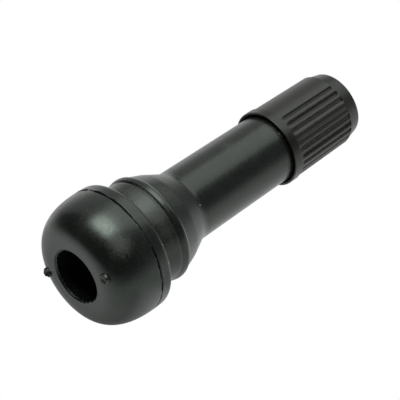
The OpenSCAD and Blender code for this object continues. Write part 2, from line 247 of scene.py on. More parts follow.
stem_r, stem_z = joined(rounded_profile(stem_outside, STEM_STEP),
                        rounded_profile(stem_mouth, STEM_THREAD_STEP),
                        rounded_profile(stem_airway, STEM_STEP))
stem_angle = full_turn(STEM_COLUMNS)
# the rolled groove is a V of about 60 degrees with a flat crest and root, and the tapped ridge is
# shallower and blunter
groove = np.clip((GROOVE_CREST - thread_wave(stem_z, stem_angle, CAP_THREAD_PITCH)) / THREAD_FLANK, 0, 1)
rolled = between(stem_z, stem_land_z + CAP_THREAD_START, stem_mouth_z - CAP_THREAD_END, CAP_THREAD_FADE)
rolled = rolled * (stem_r > STEM_OUTSIDE_R)
tapped_ridge = thread_wave(stem_z, stem_angle, CORE_THREAD_PITCH) - TAPPED_ROOT
tapped_ridge = np.clip(tapped_ridge / THREAD_FLANK, 0, 1)
core_thread_top_z = stem_mouth_z - STEM_BEVEL - CORE_THREAD_END
tapped = between(stem_z, core_thread_top_z - CORE_THREAD_H, core_thread_top_z, CORE_THREAD_FADE)
tapped = tapped * np.isclose(stem_r, CORE_THREAD_R, atol=ON_WALL)
stem_r = stem_r - rolled * groove * CAP_THREAD_DEPTH - tapped * tapped_ridge * CORE_THREAD_DEPTH
solid("brass_stem_threaded", [skin(round_axis(stem_r, stem_z, stem_angle))], brass,
      "valve", "brass_stem")

# Valve core: brass plug, barrel, pin and cup, with a red packing ring, a black gasket and a
# spring of steel wire. The core screws into the stem's mouth, and its spring pulls the cup shut.
SPRING_WIRE_R, SPRING_COIL_R, SPRING_TURNS = 0.14, 0.86, 9
SPRING_STEPS, SPRING_SIDES, SPRING_FLAT, SPRING_CLOSED = 36, 12, 0.06, 0.1
PACKING_DARK, PACKING_LIGHT = (0.2, 0.016, 0.012), (0.36, 0.035, 0.025)
GASKET_DARK, GASKET_LIGHT = (0.008, 0.008, 0.008), (0.02, 0.02, 0.021)
STEEL_DARK, STEEL_LIGHT = (0.35, 0.35, 0.36), (0.6, 0.6, 0.62)

core_brass = speckled_finish("core_brass", BRASS_DARK, BRASS_LIGHT, grain=0.7, rough=(0.2, 0.36),
                             relief=0.006, stretch=(0.4, 0.4, 3), Metallic=1.0)
packing = speckled_finish("packing_ring", PACKING_DARK, PACKING_LIGHT, grain=0.4, rough=(0.5, 0.7),
                          relief=0.01)
gasket = speckled_finish("gasket_rubber", GASKET_DARK, GASKET_LIGHT, grain=0.5, rough=(0.5, 0.7),
                         relief=0.01)
steel = speckled_finish("spring_wire", STEEL_DARK, STEEL_LIGHT, grain=0.5, rough=(0.2, 0.35),
                        relief=0.004, Metallic=1.0)


def dress(node_name, finish):
    """Gives a finish to a CAD node that keeps its own mesh."""
    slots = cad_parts[node_name].data.materials
    slots.clear()
    slots.append(finish)


for brass_node in ("core_plug", "core_barrel", "core_pin", "gasket_cup"):
    dress(brass_node, core_brass)
dress("barrel_packing", packing)
dress("cup_gasket", gasket)


def coil(floor_z, top_z):
    """Round wire along a helix: a ring of wire sides at each step of the turn. The rise eases
    in and out, so that the end turns lie flat on the barrel's floor and on the collar."""
    share = np.linspace(0, 1, SPRING_TURNS * SPRING_STEPS + 1)[:, None]
    side = full_turn(SPRING_SIDES)
    eased = np.clip((share - SPRING_FLAT) / (1 - 2 * SPRING_FLAT), 0, 1)
    rise = SPRING_CLOSED * share + (1 - SPRING_CLOSED) * eased
    low, high = floor_z + SPRING_WIRE_R, top_z - SPRING_WIRE_R
    radius = SPRING_COIL_R + SPRING_WIRE_R * np.cos(side)
    height = low + (high - low) * rise + SPRING_WIRE_R * np.sin(side)
    grid = round_axis(radius, height, 2 * math.pi * SPRING_TURNS * share)[:, ::-1]
    return grid, np.stack([grid[0].mean(0), grid[-1].mean(0)])


spring_floor_z, spring_top_z = reach("core_spring")
spring = solid("core_spring_wire", [skin(*coil(spring_floor_z, spring_top_z))],
               steel, "valve", "core_spring")
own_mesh(spring)

# Rubber body: one black moulding round the stem, with the domed base, the groove that snaps
# into the rim, the lip, the cone and the sleeve. The mould leaves a broken parting line below the
# band, a bead on the lip, torn flash in the bore and two torn nibs on the end face.
BORE_R, BORE_SEAM_Z, END_FACE_R = 3.65, 1.4, 4.4
BASE_R, BASE_H, DOME_FULLNESS, DOME_SPAN, DOME_ROWS, DOME_STEP = 8.45, 6.55, 2.55, (0.02, 0.985), 54, 0.01
BAND_H, BAND_TOP_R, BAND_ROUND, SHOULDER_H = 1.47, 8.38, 0.8, 0.53
SEAT_R, SEAT_TOP_R, SEAT_H, SEAT_ROUND, LIP_H = 6.48, 6.85, 2.75, 0.5, 1.2
CONE_R, CONE_BEND_R, CONE_BEND_H, CONE_H = 6.85, 6.12, 2.05, 4.8
CONE_ROUND, CONE_BEND_ROUND, NECK_ROUND = 0.8, 4.0, 2.6
SLEEVE_R, SLEEVE_TIP_R, SLEEVE_TIP_ROUND, SLEEVE_GAP = 4.775, 4.575, 0.35, 0.1
RUBBER_STEP, RUBBER_COLUMNS, EDGE_FINE = 0.32, 256, 0.03
# corners as (radius, height, rounding), from the bore's wall at the end face and from the seat's top
BORE_RIM = ((0, 1.2, 0), (0, 0.4, 0.02), (-0.1, 0.33, 0.03), (-0.1, 0.24, 0.03), (0, 0.2, 0.02),
            (0, 0.12, 0.05), (0.12, 0, 0.06))
LIP = ((-0.02, -0.3, 1.2), (-0.035, -0.05, 0.05), (0.16, 0.24, 0.12), (0.24, 0.68, 0.35),
       (0.2, 0.95, 0.12))
# the parting line gapes on stretches of (from, to, gape), is closed at three places and is faint on
# one stretch, with the angles in degrees
PARTING_DROP, PARTING_W, PARTING_DEPTH, PARTING_TRACE = 0.28, 0.1, 0.3, 0.06
PARTING_MIN_R, PARTING_REACH, PARTING_CORE = 8.0, 0.3, 0.05
PARTING_WIDE = ((-132.0, -91.0, 1.8), (-86.0, -68.0, 1.0), (-64.0, -44.0, 0.9), (0.5, 35.0, 0.7))
PARTING_BREAKS, PARTING_FAINT = (-88.5, 11.2, 37.0), (-40.0, -3.0)
WIDE_FADE, BREAK_REACH, FAINT_FADE, FAINT_SHARE = 4.0, 1.2, 8.0, 0.85
PARTING_GAPE, PARTING_WANDER, PARTING_BITE = 0.25, 0.03, 0.06
FLASH_TURN, FLASH_REACH, FLASH_DEPTH, FLASH_TORN = math.radians(82), math.radians(26), 0.26, 0.3
FLASH_Z, FLASH_H, FLASH_W, TORN_SKIN_Z, TORN_SKIN_H, TORN_SKIN_DEPTH = 0.1, 0.16, 0.3, 0.285, 0.06, 0.05
TIP_LINE_DROP, TIP_LINE_H, TIP_LINE_DEPTH, TIP_LINE_MOST, TIP_LINE_MIN_R = 0.08, 0.07, 0.03, 2.0, 4.0
# nibs as (x, y, radius, seed), and their rows from the root to the sunk top: shares of the radius
# and of the height, and how uneven the row is
NIBS = ((5.75, -0.3, 0.69, 3), (-5.75, 0.0, 0.61, 8))
NIB_ROOT_Z, NIB_TOP_Z, NIB_COLUMNS, NIB_TORN = 0.6, -0.12, 28, 0.07
NIB_ROWS = ((1.04, 0, 0), (1.0, 0.75, 0.06), (0.95, 0.97, 0.1), (0.8, 0.95, 0.13), (0.55, 0.72, 0.12),
            (0.25, 0.62, 0.05))
RUBBER_DARK, RUBBER_LIGHT = (0.003, 0.0037, 0.0032), (0.0062, 0.0074, 0.0065)


def ragged(angle, seed, lowest, highest):
    """Torn edge as a number from about -1 to 1: a sum of cosines of the angle, from the lowest
    to the highest whole number of waves a turn, with phases drawn from the seed."""
    waves = np.arange(lowest, highest + 1)[:, None]
    phase = np.random.default_rng(seed).uniform(0, 2 * math.pi, waves.shape)
    return (np.cos(waves * angle.reshape(1, -1) + phase).sum(0) / math.sqrt(len(waves)))[None, :]


def bump_at(value, middle, reach_out):
    """1 at the middle and next to 0 beyond the reach on each side: a bell curve."""
    return np.exp(-(((value - middle) / reach_out) ** 2))


sleeve_top_z = reach("rubber_body")[1]
parting_z = BASE_H - PARTING_DROP
band_z = BASE_H + BAND_H
seat_z = band_z + SHOULDER_H
lip_z = seat_z + SEAT_H
cone_z = lip_z + LIP_H
# the dome is a quarter of a superellipse between the end face and the band
dome_share = np.linspace(*DOME_SPAN, DOME_ROWS) * math.pi / 2
dome_r = END_FACE_R + (BASE_R - END_FACE_R) * np.sin(dome_share) ** (2 / DOME_FULLNESS)
dome_z = BASE_H * (1 - np.cos(dome_share) ** (2 / DOME_FULLNESS))
dome = np.stack([dome_r, dome_z, 0 * dome_z], -1)[dome_z < parting_z - 2 * PARTING_W]
bore_rim = np.array(BORE_RIM) + (BORE_R, 0, 0)
band = [(BASE_R - DOME_STEP, parting_z - PARTING_W, EDGE_FINE),
        (BASE_R - PARTING_DEPTH, parting_z, EDGE_CRISP), (BASE_R, parting_z + PARTING_W, EDGE_FINE),
        (BAND_TOP_R, band_z, BAND_ROUND), (SEAT_R, seat_z, SEAT_ROUND)]
lip = np.array(LIP) + (SEAT_TOP_R, lip_z, 0)
sleeve = [(CONE_R, cone_z, CONE_ROUND), (CONE_BEND_R, cone_z + CONE_BEND_H, CONE_BEND_ROUND),
          (SLEEVE_R, cone_z + CONE_H, NECK_ROUND), (SLEEVE_TIP_R, sleeve_top_z, SLEEVE_TIP_ROUND),
          (CAP_THREAD_R + SLEEVE_GAP, sleeve_top_z, 0)]
stem_bed = [(CAP_THREAD_R, sleeve_top_z, 0)] + stem_outside[::-1]
stem_bed += [(BORE_R, stem_foot_z, 0), (BORE_R, BORE_SEAM_Z, 0)]
rubber_outside = np.vstack([bore_rim, (END_FACE_R, 0, 0), dome, band, lip, sleeve])
rubber_shown = rounded_profile(rubber_outside, RUBBER_STEP)
# the bed round the stem has sharp corners, because nothing shows it
rubber_hidden = rounded_profile(np.array(stem_bed) * (1, 1, 0), STEM_STEP)
rubber_r, rubber_z = joined(rubber_shown, rubber_hidden)
rubber_angle = full_turn(RUBBER_COLUMNS, -math.pi)
rubber_degrees = np.degrees(rubber_angle)
shows = np.arange(len(rubber_r))[:, None] < len(rubber_shown[0])
# the parting line wanders, gapes in places, is faint in front and is closed in three places
on_band = (rubber_r > PARTING_MIN_R) * shows
near_parting = bump_at(rubber_z, parting_z, PARTING_REACH) * on_band
in_parting = bump_at(rubber_z, parting_z, PARTING_CORE) * on_band
gape = sum(width * between(rubber_degrees, low, high, WIDE_FADE) for low, high, width in PARTING_WIDE)
gape = gape + PARTING_GAPE * ragged(rubber_angle, seed=8, lowest=3, highest=40)
wander = PARTING_WANDER * ragged(rubber_angle, seed=5, lowest=4, highest=50)
bite = PARTING_BITE * ragged(rubber_angle, seed=6, lowest=6, highest=60)
closed = sum(bump_at(rubber_degrees, place, BREAK_REACH) for place in PARTING_BREAKS)
closed = np.maximum(closed, FAINT_SHARE * between(rubber_degrees, *PARTING_FAINT, FAINT_FADE))
# torn flash narrows the bore's rim on one side, and a thin torn skin rings the bore below it
flash = 1 - FLASH_TORN + FLASH_TORN * ragged(rubber_angle, seed=7, lowest=9, highest=38)
flash = flash * bump_at(rubber_angle, FLASH_TURN, FLASH_REACH)
at_rim = (rubber_r >= BORE_R - ON_WALL) * (rubber_r < BORE_R + FLASH_W) * shows
at_rim = at_rim * bump_at(rubber_z, FLASH_Z, FLASH_H)
in_bore = bump_at(rubber_z, TORN_SKIN_Z, TORN_SKIN_H) * (rubber_r < BORE_R - 2 * ON_WALL) * shows
bore_tear = TORN_SKIN_DEPTH * ragged(rubber_angle, seed=11, lowest=5, highest=45)
# the sleeve ends in a thin torn line where the cap's rim meets it
at_tip = bump_at(rubber_z, reach("cap_shell")[0] - TIP_LINE_DROP, TIP_LINE_H)
at_tip = at_tip * (rubber_r > TIP_LINE_MIN_R) * shows
tip_line = np.clip(ragged(rubber_angle, seed=9, lowest=8, highest=60), 0, TIP_LINE_MOST)
tip_line = TIP_LINE_DEPTH * tip_line
rubber_r = rubber_r + in_parting * (bite + closed * (PARTING_DEPTH - PARTING_TRACE))
rubber_r = rubber_r - at_rim * flash * FLASH_DEPTH + in_bore * bore_tear + at_tip * tip_line
rubber_z = rubber_z + near_parting * (wander + (rubber_z - parting_z) * gape)
rubber_skins = [skin(round_axis(rubber_r, rubber_z, rubber_angle))]
# a nib is a torn stump: straight sides, a broken rim and a sunk, crumbled top
nib_angle = full_turn(NIB_COLUMNS)
nib_out, nib_down, nib_uneven = np.array(NIB_ROWS).T[:, :, None]
for nib_x, nib_y, nib_r, nib_seed in NIBS:
    nib_at = np.array([nib_x, nib_y, NIB_ROOT_Z])
    torn = np.vstack([ragged(nib_angle, nib_seed + 10 * row, lowest=1, highest=4)
                      for row in range(len(NIB_ROWS))])
    nib_fall = (NIB_TOP_Z - NIB_ROOT_Z) * (nib_down + nib_uneven * torn)
    nib_grid = round_axis(nib_r * nib_out * (1 + NIB_TORN * torn), nib_fall, nib_angle)
    nib_poles = np.array([[0, 0, 0], [0, 0, (NIB_TOP_Z - NIB_ROOT_Z) * nib_down[-1, 0]]])
    rubber_skins.append(skin((nib_grid + nib_at)[:, ::-1], nib_poles + nib_at))
rubber = speckled_finish("moulded_rubber", RUBBER_DARK, RUBBER_LIGHT, grain=1.5, rough=(0.25, 0.35),
                         relief=0.006, Specular_IOR_Level=0.58, Specular_Tint=(0.87, 1.0, 0.9, 1))


def reckon(tree, operation, *inputs):
    """Result of a Math node, whose inputs are sockets or plain numbers."""
    step = tree.nodes.new("ShaderNodeMath")
    step.operation = operation
    for socket, value in zip(step.inputs, inputs):
        if isinstance(value, bpy.types.NodeSocket):
            tree.links.new(value, socket)
        else:
            socket.default_value = value
    return step.outputs[0]


def measured(tree, operation, place, fixed):
    """Distance or dot product of a place, which is a socket, and a fixed vector."""
    step = tree.nodes.new("ShaderNodeVectorMath")
    step.operation = operation
    step.inputs[1].default_value = fixed
    tree.links.new(place, step.inputs[0])
    return step.outputs["Value"]


def mix_over(material, mask, colour, rough):
    """Lays a second colour and roughness over a finish where the mask, a socket, is 1."""
    node, link = material.node_tree.nodes, material.node_tree.links.new
    shader = node["Principled BSDF"]
    for socket, kind, value in (("Base Color", "RGBA", (*colour, 1)), ("Roughness", "FLOAT", rough)):
        under = shader.inputs[socket].links[0].from_socket
        mix = node.new("ShaderNodeMix")
        mix.data_type = kind
        share, first, second = [end for end in mix.inputs if end.enabled]
        link(mask, share)
        link(under, first)
        second.default_value = value
        link([end for end in mix.outputs if end.enabled][0], shader.inputs[socket])


def spot_mask(material, spots):
    """Socket that is the spot's strength at the middle of each spot of (x, y, z, radius, strength)
    in mm and falls to 0 at its radius, where the radius wavers with a noise."""
    tree = material.node_tree
    place, noise = tree.nodes.new("ShaderNodeTexCoord"), tree.nodes.new("ShaderNodeTexNoise")
    noise.inputs["Scale"].default_value = SPOT_WAVES / MM
    tree.links.new(place.outputs["Object"], noise.inputs["Vector"])
    mask = 0.0
    for x, y, z, radius, strength in spots:
        away = measured(tree, "DISTANCE", place.outputs["Object"], (x * MM, y * MM, z * MM))
        waver = reckon(tree, "MULTIPLY_ADD", noise.outputs["Fac"], radius * MM, -radius * MM / 2)
        length = reckon(tree, "ADD", away, waver)
        mask = reckon(tree, "MAXIMUM", graded(tree, length, 0, radius * MM, strength, 0), mask)
    return mask


def rub_over(piece, name, rubbed, colour, rough):
    """Lays a second finish over a piece where rubbed, a number for each of its first points, is 1.
    The numbers become a point attribute of the mesh, which the piece's material reads."""
    values = np.zeros(len(piece.data.vertices), np.float32)
    values[:rubbed.size] = rubbed.ravel()
    piece.data.attributes.new(name, "FLOAT", "POINT").data.foreach_set("value", values)
    material = piece.data.materials[0]
    reader = material.node_tree.nodes.new("ShaderNodeAttribute")
    reader.attribute_name = name
    mix_over(material, reader.outputs["Fac"], colour, rough)


# a grey bloom on the torn nibs and a grey blemish on the sleeve. The same grey is also painted light:
# a painted highlight tail on the dome and on the sleeve below the cap, and painted light that lifts the
# dome's dark side, the seat ring in the rim groove and the shaded bore. Pale flecks of mould dust too
SPOT_WAVES = 3
BLOOM_AND_LIGHT_COLOUR, BLOOM_AND_LIGHT_ROUGH = (0.04, 0.039, 0.036), 0.5
# painted light among these spots: the first is a painted highlight tail on the dome, the second lifts the
# dome's dark side, the five at z 10.1 light the seat ring, the one at z 4 lights the shaded bore and the
# one at z 31.9 brightens the sleeve's highlight; the nibs' two and the one at z 26.2 are bloom
BLOOM_AND_PAINTED_LIGHT = ((7.4, -3.4, 2.9, 2.1, 1.0), (3.9, -6.2, 1.6, 3.0, 0.15), (2.9, -6.1, 10.1, 2.2, 0.75),
         (4.4, -5.2, 10.15, 2.2, 0.4), (6.1, -3.0, 10.1, 2.0, 0.8), (6.6, -1.4, 10.1, 1.9, 0.55),
         (6.7, 0.6, 10.1, 1.6, 0.45), (0, 0, 4.0, 5.5, 0.6), (5.75, -0.3, -0.1, 1.0, 1.0),
         (-5.75, 0, -0.1, 0.7, 0.8), (3.08, -3.42, 31.9, 1.6, 0.35), (1.85, -4.25, 26.2, 1.0, 0.35))
FLECK_COLOUR, FLECK_ROUGH = (0.34, 0.35, 0.33), 0.7
FLECKS = ((2.9, -7.67, 3.15, 0.1, 0.8), (8.13, -1.65, 3.55, 0.09, 0.55), (8.18, -0.89, 7.9, 0.18, 1.0),
          (8.27, 0.2, 7.85, 0.15, 0.5), (8.16, 1.46, 7.82, 0.28, 0.6), (8.18, 2.05, 6.67, 0.12, 0.4),
          (8.04, 2.53, 6.62, 0.16, 0.35), (8.28, 1.56, 6.35, 0.12, 0.5), (4.76, -0.9, 17.28, 0.13, 1.0),
          (8.4, -2.6, 5.15, 0.09, 0.5), (3.74, -2.68, 32.95, 0.1, 0.6), (3.9, -2.44, 32.93, 0.12, 0.7),
          (4.06, -2.16, 32.96, 0.1, 0.5), (1.2, 3.5, 0.05, 0.14, 0.6), (0.7, 3.62, 0.03, 0.16, 0.7),
          (0.1, 3.68, 0.05, 0.12, 0.5))
# lays the grey of bloom and painted light over the rubber, then the pale dust flecks
mix_over(rubber, spot_mask(rubber, BLOOM_AND_PAINTED_LIGHT), BLOOM_AND_LIGHT_COLOUR, BLOOM_AND_LIGHT_ROUGH)
mix_over(rubber, spot_mask(rubber, FLECKS), FLECK_COLOUR, FLECK_ROUGH)
body = solid("rubber_body_moulded", rubber_skins, rubber, "valve", "rubber_body")
# the shoulder that bears on the rim is matt, and so is the back of the cone
SHOULDER_DULL_R, SHOULDER_FADE, CONE_DULL_DROP, DULL_MARGIN = 7.95, 0.3, 0.4, 0.1
CONE_GLOSSY, CONE_GLOSSY_FADE = (-128.0, 60.0), 6.0
DULL_COLOUR, DULL_ROUGH = (0.006, 0.007, 0.0062), 0.75
on_shoulder = np.clip((SHOULDER_DULL_R - rubber_r) / SHOULDER_FADE, 0, 1)
on_shoulder = on_shoulder * (rubber_z < seat_z + DULL_MARGIN)
on_cone = 1 - between(rubber_degrees, *CONE_GLOSSY, CONE_GLOSSY_FADE)
on_cone = on_cone * (rubber_z > cone_z - CONE_DULL_DROP)
dull = between(rubber_z, band_z, cone_z + CONE_H, DULL_MARGIN) * shows
rub_over(body, "dull", dull * np.maximum(on_shoulder, on_cone), DULL_COLOUR, DULL_ROUGH)

# Cap: one moulding of dark grey plastic with a plain flange, a grip with flutes on two sides
# and a tapered crown. It screws onto the stem's thread, its rim is bevelled inside, and a black
# rubber disc lies under its roof.
CAP_FLANGE_R, CAP_FLANGE_H, CAP_GRIP_R, CAP_GRIP_TOP_R = 5.175, 1.2, 5.05, 4.875
CAP_CROWN_H, CAP_CROWN_R, CAP_CROWN_TOP_R, CAP_CROWN_EDGE = 2.05, 4.75, 4.3, 0.35
CAP_SKIRT_R, CAP_SKIRT_GAP, CAP_RIM_BEVEL, CAP_RIM_SEAM = 4.725, 0.3, 0.245, 0.03
CAP_STEP_H, CAP_STEP_EDGE, CAP_POLE_R = 0.04, 0.06, 0.4
CAP_BORE_R, CAP_RIDGE_H, CAP_RIDGE_CREST, CAP_RIDGE_FLANK = 3.95, 0.33, 0.78, 0.48
CAP_RIDGE_START, CAP_RIDGE_FADE = 0.15, 0.3
CAP_INSIDE_STEP, CAP_OUTSIDE_STEP = 0.11, 0.3
# flutes of one side as (depth, half width)
FLUTES = ((0.25, 0.42), (0.27, 0.52), (0.27, 0.52), (0.13, 0.25), (0.22, 0.5), (0.27, 0.55), (0.25, 0.52),
          (0.22, 0.5), (0.25, 0.52), (0.25, 0.52))
FLUTE_PLACES, FLUTE_TURN, FLUTE_STEPS = 28, math.radians(-48), 13
FLUTE_START, FLUTE_RUN_OUT, FLUTE_WEAR, FLUTE_WEAR_RATE = 0.1, 0.35, 0.12, 0.6
CAP_DARK, CAP_LIGHT = (0.003, 0.003, 0.0027), (0.006, 0.0061, 0.0055)
RIB_COLOUR, RIB_ROUGH, RIB_FADE, RIB_DEPTH = (0.011, 0.0105, 0.0092), 0.38, 0.1, 0.15

dress("cap_seal", gasket)
cap_rim_z, cap_top_z = reach("cap_shell")
cap_roof_z = reach("cap_seal")[1]
cap_grip_z, cap_crown_z = cap_rim_z + CAP_FLANGE_H, cap_top_z - CAP_CROWN_H
cap_skirt_z = sleeve_top_z + CAP_SKIRT_GAP
cap_bevel_r = CAP_SKIRT_R + CAP_RIM_BEVEL
cap_inside = [(CAP_POLE_R, cap_roof_z, 0), (CAP_BORE_R, cap_roof_z, EDGE_SMALL),
              (CAP_BORE_R, cap_skirt_z, EDGE_SMALL), (CAP_SKIRT_R, cap_skirt_z, EDGE_SMALL),
              (CAP_SKIRT_R, cap_rim_z + CAP_RIM_BEVEL, EDGE_FINE), (cap_bevel_r, cap_rim_z, 0)]
cap_outside = [(cap_bevel_r + CAP_RIM_SEAM, cap_rim_z, 0), (CAP_FLANGE_R, cap_rim_z, EDGE_SOFT),
               (CAP_FLANGE_R, cap_grip_z, CAP_STEP_EDGE), (CAP_GRIP_R, cap_grip_z + CAP_STEP_H, EDGE_FINE),
               (CAP_GRIP_TOP_R, cap_crown_z, CAP_STEP_EDGE),
               (CAP_CROWN_R, cap_crown_z + CAP_STEP_H, EDGE_BEVEL),
               (CAP_CROWN_TOP_R, cap_top_z, CAP_CROWN_EDGE), (CAP_POLE_R, cap_top_z, 0)]
cap_inner = rounded_profile(cap_inside, CAP_INSIDE_STEP)
cap_r, cap_z = joined(cap_inner, rounded_profile(cap_outside, CAP_OUTSIDE_STEP))
cap_outer_rows = np.arange(len(cap_r))[:, None] >= len(cap_inner[0])
# a flute is a valley between two rounded ribs: its depth less a quarter of a sine wave. Each has
# a depth and half a width of its own, and worn edges
flute_pitch = 2 * math.pi / FLUTE_PLACES
column = np.linspace(-0.5, 0.5, FLUTE_STEPS, endpoint=False) * flute_pitch
cap_angle = (FLUTE_TURN + np.arange(FLUTE_PLACES)[:, None] * flute_pitch + column).reshape(1, -1)
one_side = np.tile((0.0, 1.0), (FLUTE_PLACES // 2, 1))
one_side[:len(FLUTES)] = FLUTES
flute_depth, flute_half_w = np.repeat(np.tile(one_side, (2, 1)), FLUTE_STEPS, axis=0).T[:, None]
worn = np.vstack([ragged(FLUTE_WEAR_RATE * cap_z, seed=place, lowest=5, highest=16)
                  for place in range(FLUTE_PLACES)]).T
worn = np.repeat(1 + FLUTE_WEAR * worn, FLUTE_STEPS, axis=1)
off_line = np.abs(np.tile(column, FLUTE_PLACES)) * CAP_GRIP_R / (flute_half_w * worn)
flute_cut = flute_depth * (1 - np.sin(np.clip(off_line, 0, 1) * math.pi / 2))
in_grip = between(cap_z, cap_skirt_z + FLUTE_START, cap_top_z, FLUTE_RUN_OUT)
in_grip = in_grip * (cap_z < cap_crown_z + ON_WALL) * cap_outer_rows
cap_ridge = CAP_RIDGE_CREST - thread_wave(cap_z, cap_angle, CAP_THREAD_PITCH)
cap_ridge = np.clip(cap_ridge / CAP_RIDGE_FLANK, 0, 1)
threaded = between(cap_z, cap_skirt_z + CAP_RIDGE_START, stem_mouth_z - CAP_THREAD_END, CAP_RIDGE_FADE)
threaded = threaded * np.isclose(cap_r, CAP_BORE_R, atol=ON_WALL) * ~cap_outer_rows
cap_r = cap_r - in_grip * flute_cut - threaded * cap_ridge * CAP_RIDGE_H
cap_grid = round_axis(cap_r, cap_z, cap_angle)
cap_poles = np.array([[0, 0, cap_roof_z], [0, 0, cap_top_z]])
plastic = speckled_finish("cap_plastic_matt", CAP_DARK, CAP_LIGHT, grain=0.9, rough=(0.3, 0.4),
                          relief=0.008, Specular_IOR_Level=0.52, Specular_Tint=(0.93, 1.0, 0.91, 1))
cap = solid("cap_fluted", [skin(cap_grid, cap_poles)], plastic, "cap", "cap_shell")
# the grip is matt and lighter grey than the rest of the cap, apart from its flutes
matt = between(cap_z, cap_grip_z, cap_crown_z + CAP_STEP_H, RIB_FADE) * cap_outer_rows
matt = matt * (1 - in_grip * np.clip(flute_cut / RIB_DEPTH, 0, 1))
rub_over(cap, "matt", matt, RIB_COLOUR, RIB_ROUGH)

# Studio: a white sheet under the valve as it lies in the picture, a dark room above it, one softbox
# overhead, a weak panel behind it and a wall at its side. The sheet glows, with painted shade where the
# valve's shadow would lie and far behind the cap, and only gloss shows it. The pale floor shows from above
# only.
PAPER_UP, PAPER_DROP, PAPER_R = (0.4507, -0.8845, -0.12), 9.36, 36.0
# painted shade of the glowing sheet along the valve, as (height, grey)
PAPER_SHADE = ((-15.0, 1.0), (-8.0, 0.8), (-2.0, 0.75), (1.5, 0.6), (4.0, 0.8), (7.5, 1.0), (10.5, 1.0),
               (13.0, 0.68), (17.5, 0.75), (20.5, 1.0), (55.0, 0.85))
CONTACT_AT, CONTACT_REACH, CONTACT_SHADE = (-2.0, 9.5, 4.0), (2.0, 11.0), 0.4
SHADOW_SIDE, SHADOW_EDGES = (-0.891, -0.454, 0), ((1.5, 5.0), (9.0, 12.0))
SHADOW_FROM_Z, SHADOW_SHADE = (6.0, 12.0), 0.25
HORIZON, HORIZON_BEND, HORIZON_LEAN = (0.12, -0.36), 0.1, 0.7
ROOM_LOW, ROOM_HIGH, ROOM_FROM = 0.06, 0.26, -0.3
FLOOR_Z, FLOOR_R, FLOOR_GREY, FLOOR_GLOW = -0.45, 220.0, 0.8, 0.4
DISC_SIDES = 96
AIM_AT = np.array([0.0, 0.0, 18.0])
# lamps as (name, azimuth and elevation in degrees, distance, width and height in mm, brightness)
SOFTBOXES = (("overhead_softbox", -67, -4, 320, (220, 160), 7.6),
             ("rear_panel", -65, 38, 420, (390, 410), 1.5),
             ("side_wall", -124, 22, 500, (520, 420), 0.42))


def disc(name, centre, up, radius):
    """Round sheet of one face: points on a circle about the centre, across the up direction."""
    up = np.array(up) / np.linalg.norm(up)
    along = np.cross(up, (0, 1, 0)) / np.linalg.norm(np.cross(up, (0, 1, 0)))
    turn = full_turn(DISC_SIDES).T
    rim = np.array(centre) + radius * (np.cos(turn) * along + np.sin(turn) * np.cross(up, along))
    sheet = bpy.data.meshes.new(name)
    sheet.from_pydata((rim * MM).tolist(), [], [list(range(DISC_SIDES))])
    piece = bpy.data.objects.new(name, sheet)
    bpy.context.scene.collection.objects.link(piece)
    piece.visible_shadow = False
    return piece


def bare_material(name):
    """Material with nothing but its output node, as material, tree and surface socket."""
    material = bpy.data.materials.new(name)
    material.use_nodes = True
    material.node_tree.nodes.clear()
    output = material.node_tree.nodes.new("ShaderNodeOutputMaterial")
    return material, material.node_tree, output.inputs["Surface"]


under_aim = AIM_AT - (PAPER_DROP + np.dot(PAPER_UP, AIM_AT)) * np.array(PAPER_UP)
paper_sheet = disc("paper_sheet", under_aim, PAPER_UP, PAPER_R)
paper_sheet.visible_camera = paper_sheet.visible_diffuse = False
paper_glow_painted_shade, tree, surface = bare_material("paper_glow_painted_shade")
place, split = tree.nodes.new("ShaderNodeTexCoord"), tree.nodes.new("ShaderNodeSeparateXYZ")
tree.links.new(place.outputs["Object"], split.inputs[0])
shade_from, shade_to = PAPER_SHADE[0][0], PAPER_SHADE[-1][0]
along_valve = graded(tree, split.outputs["Z"], shade_from * MM, shade_to * MM, 0, 1, kind="LINEAR")
shade = [((z - shade_from) / (shade_to - shade_from), (grey, grey, grey)) for z, grey in PAPER_SHADE]
glow = tree.nodes.new("ShaderNodeEmission")
tree.links.new(tone(tree, along_valve, shade), glow.inputs["Color"])
# painted shadow: the sheet's glow is dimmed round the place where the valve touches it, and in a band
# beside the valve
from_contact = measured(tree, "DISTANCE", place.outputs["Object"], np.array(CONTACT_AT) * MM)
near, far = np.array(CONTACT_REACH) * MM
contact = graded(tree, from_contact, near, far, CONTACT_SHADE, 1)
beside_valve = measured(tree, "DOT_PRODUCT", place.outputs["Object"], SHADOW_SIDE)
inner, outer = np.array(SHADOW_EDGES) * MM
shadow = reckon(tree, "MULTIPLY", graded(tree, beside_valve, *inner, 0, 1),
                graded(tree, beside_valve, *outer, 1, 0))
low, high = np.array(SHADOW_FROM_Z) * MM
shadow = reckon(tree, "MULTIPLY", shadow, graded(tree, split.outputs["Z"], low, high, 0, SHADOW_SHADE - 1))
tree.links.new(reckon(tree, "MULTIPLY_ADD", contact, shadow, contact), glow.inputs["Strength"])
tree.links.new(glow.outputs[0], surface)
paper_sheet.data.materials.append(paper_glow_painted_shade)

